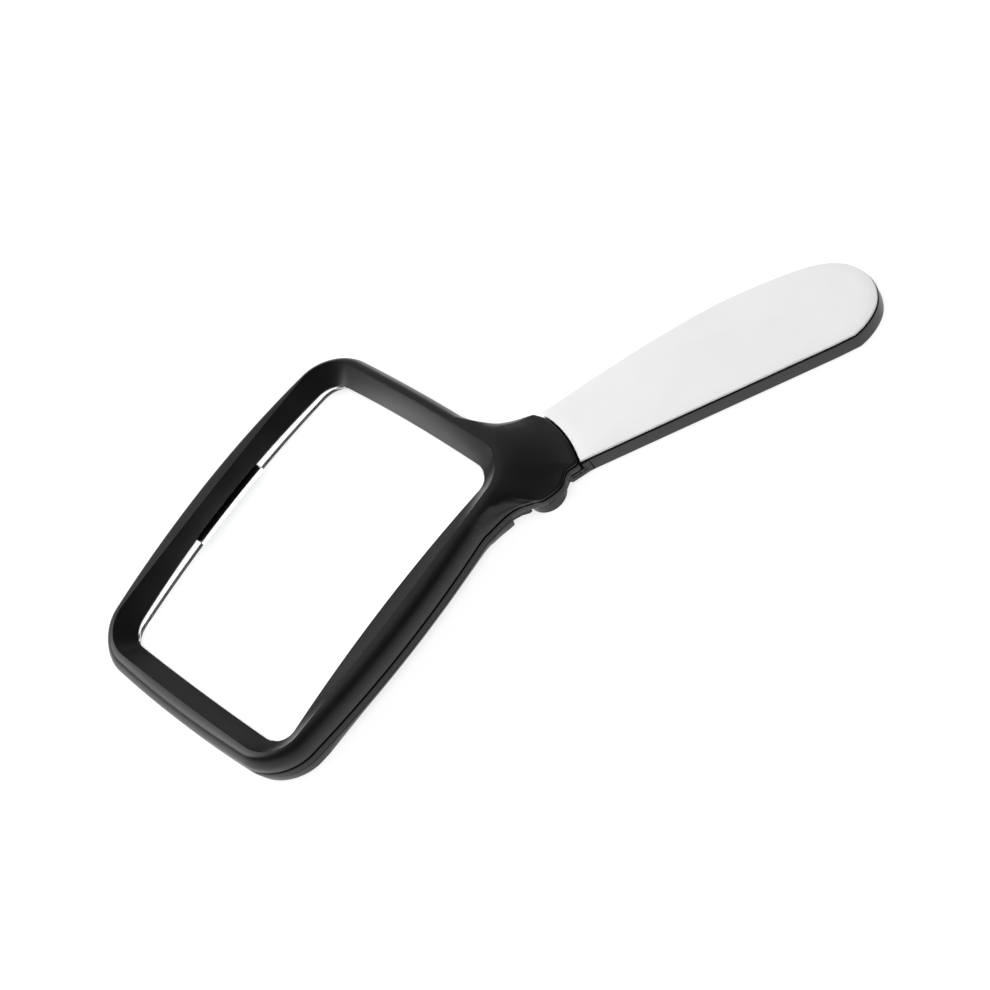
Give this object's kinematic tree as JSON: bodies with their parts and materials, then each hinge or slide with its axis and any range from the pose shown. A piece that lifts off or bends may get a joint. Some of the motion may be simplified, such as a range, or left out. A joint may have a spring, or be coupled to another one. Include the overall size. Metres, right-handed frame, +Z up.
{
  "type": "magnifying glass",
  "caption": "Hand-held rectangular reading magnifier with a domed lens, a light bar in the rim and a flat handle that folds beside the frame on a corner pivot.",
  "frame": {"origin": "on the resting surface, under the middle of the open magnifier's box", "axes": "+X along the frame's long side towards the handle, +Y to the lit side of the frame, +Z up out of the lens"},
  "size_m": [0.2192, 0.155, 0.0142],
  "materials": {
    "black_plastic": "satin moulded black with a fine grain",
    "lens_acrylic": "clear polished acrylic",
    "white_plastic": "glossy white",
    "button": "black with small raised ovals",
    "board": "green circuit board",
    "led": "pale light chip",
    "diffuser": "clear strip",
    "lead_red": "red insulation",
    "lead_black": "black insulation",
    "contact": "bright brass",
    "steel": "plated steel",
    "cell": "stainless can",
    "switch_black": "moulded black",
    "resistor": "coated body"
  },
  "bodies": {
    "head": {"top_shell": "black_plastic", "lower_shell": "black_plastic", "lens": "lens_acrylic", "led_housing": "black_plastic", "led_board": "board", "led_1": "led", "led_2": "led", "led_3": "led", "led_diffuser": "diffuser", "lead_positive": "lead_red", "lead_negative": "lead_black", "wiper_contact": "contact", "frame_screw_1": "steel", "frame_screw_2": "steel", "frame_screw_3": "steel", "frame_screw_4": "steel", "pivot_screw": "steel", "pivot_washer": "steel"},
    "handle": {"handle_body": "black_plastic", "handle_cover": "white_plastic", "contact_ring": "contact", "switch_board": "board", "tact_switch": "switch_black", "resistor": "resistor", "handle_lead": "lead_red", "coin_cell_lower": "cell", "coin_cell_upper": "cell", "cell_top_contact": "contact", "cell_side_contact": "contact", "handle_screw_1": "steel", "handle_screw_2": "steel", "handle_screw_3": "steel"},
    "light_button": {"light_button": "button", "switch_plunger": "switch_black"},
    "battery_cap": {"battery_cap": "black_plastic"}
  },
  "joints": [
    {"name": "handle_fold", "type": "hinge", "parent": "head", "child": "handle", "pos_m": [0.00748, -0.02054, 0], "axis": [0, 0, -1], "range_deg": [0, 145]},
    {"name": "button_press", "type": "slide", "parent": "handle", "child": "light_button", "axis": [0.5693, 0.8221, 0], "range_m": [0, 0.0006], "stiffness_N_per_m": 2500},
    {"name": "battery_cap_turn", "type": "hinge", "parent": "handle", "child": "battery_cap", "pos_m": [0.05991, -0.03616, 0], "axis": [0, 0, -1], "range_deg": [0, 40]}
  ]
}
